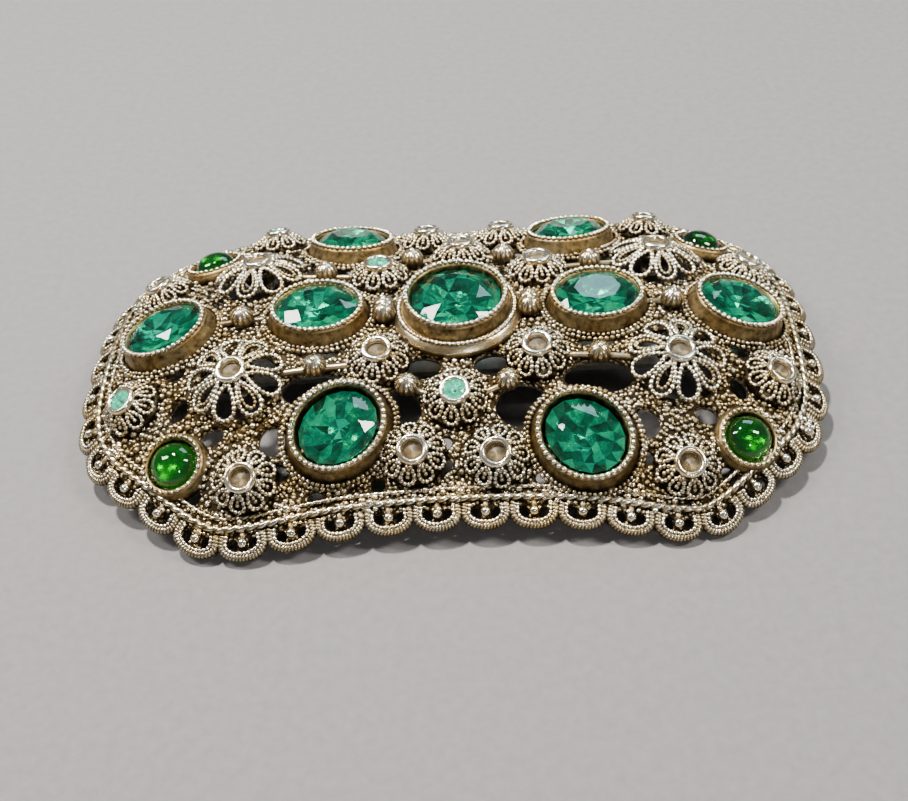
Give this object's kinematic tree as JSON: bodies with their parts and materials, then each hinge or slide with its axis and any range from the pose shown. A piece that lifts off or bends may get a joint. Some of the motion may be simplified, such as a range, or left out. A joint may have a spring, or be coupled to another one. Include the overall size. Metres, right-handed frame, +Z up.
{
  "type": "barrette",
  "caption": "Domed openwork hair barrette with scalloped edge, faceted and domed green stones, small flowers and a hinged clip underneath.",
  "frame": {"origin": "under the middle of the ornament, on the plane that the corners of its rim stand on", "axes": "+X along the length, from the clip's hinge to its catch; +Y towards the back edge; +Z up through the centre stone"},
  "size_m": [0.1074, 0.0684, 0.0172],
  "materials": {
    "plate_metal": "antiqued silver tone over brass, dark in the recesses, bright on the beads",
    "bezel_metal": "antiqued silver tone over brass, golden tarnish on the walls",
    "flower_metal": "antiqued silver tone over brass, granulated",
    "emerald_glass": "faceted, foil backed, emerald green",
    "cabochon_glass": "smooth dome, foil backed, dark green",
    "chaton_glass": "small faceted, foil backed, pale emerald",
    "clip_steel": "plated spring steel, satin"
  },
  "bodies": {
    "ornament": {"bezel_back_left": "bezel_metal", "bezel_back_right": "bezel_metal", "bezel_centre": "bezel_metal", "bezel_front_left": "bezel_metal", "bezel_front_right": "bezel_metal", "bezel_mid_left": "bezel_metal", "bezel_mid_right": "bezel_metal", "bezel_outer_left": "bezel_metal", "bezel_outer_right": "bezel_metal", "cabochon_back_left": "cabochon_glass", "cabochon_back_right": "cabochon_glass", "cabochon_bezel_back_left": "bezel_metal", "cabochon_bezel_back_right": "bezel_metal", "cabochon_bezel_front_left": "bezel_metal", "cabochon_bezel_front_right": "bezel_metal", "cabochon_front_left": "cabochon_glass", "cabochon_front_right": "cabochon_glass", "chaton_corner_back_left": "chaton_glass", "chaton_end_front_left": "chaton_glass", "chaton_mid_back_left": "chaton_glass", "chaton_middle_front": "chaton_glass", "clip_base": "clip_steel", "flower_big_back_left": "flower_metal", "flower_big_back_right": "flower_metal", "flower_big_front_left": "flower_metal", "flower_big_front_right": "flower_metal", "flower_corner_back_left": "flower_metal", "flower_corner_back_right": "flower_metal", "flower_corner_front_left": "flower_metal", "flower_corner_front_right": "flower_metal", "flower_end_back_left": "flower_metal", "flower_end_back_right": "flower_metal", "flower_end_front_left": "flower_metal", "flower_end_front_right": "flower_metal", "flower_mid_back_left": "flower_metal", "flower_mid_back_right": "flower_metal", "flower_mid_front_left": "flower_metal", "flower_mid_front_right": "flower_metal", "flower_middle_back": "flower_metal", "flower_middle_front": "flower_metal", "flower_pair_back_left": "flower_metal", "flower_pair_back_right": "flower_metal", "flower_pair_front_left": "flower_metal", "flower_pair_front_right": "flower_metal", "hinge_pin": "clip_steel", "ornament_plate": "plate_metal", "stone_back_left": "emerald_glass", "stone_back_right": "emerald_glass", "stone_centre": "emerald_glass", "stone_front_left": "emerald_glass", "stone_front_right": "emerald_glass", "stone_mid_left": "emerald_glass", "stone_mid_right": "emerald_glass", "stone_outer_left": "emerald_glass", "stone_outer_right": "emerald_glass"},
    "clasp_arm": {"clasp_arm": "clip_steel"},
    "tension_bow": {"tension_bow": "clip_steel"},
    "prong_front": {"catch_prong_front": "clip_steel"},
    "prong_back": {"catch_prong_back": "clip_steel"}
  },
  "joints": [
    {"name": "arm_hinge", "type": "hinge", "parent": "ornament", "child": "clasp_arm", "pos_m": [-0.0385, 0, 0.004], "axis": [0, 1, 0], "range_deg": [0, 80]},
    {"name": "bow_flex", "type": "hinge", "parent": "ornament", "child": "tension_bow", "pos_m": [-0.0385, 0, 0.004], "axis": [0, 1, 0], "range_deg": [0, 8]},
    {"name": "pinch_front", "type": "hinge", "parent": "ornament", "child": "prong_front", "pos_m": [0.0363, -0.0017, 0.0072], "axis": [1, 0, 0], "range_deg": [0, 6], "stiffness_Nm_per_rad": 0.15},
    {"name": "pinch_back", "type": "hinge", "parent": "ornament", "child": "prong_back", "pos_m": [0.0363, 0.0017, 0.0072], "axis": [-1, 0, 0], "range_deg": [0, 6], "stiffness_Nm_per_rad": 0.15}
  ],
  "couplings": [
    {"joint": "bow_flex", "follows": "arm_hinge", "ratio": 0.1}
  ]
}
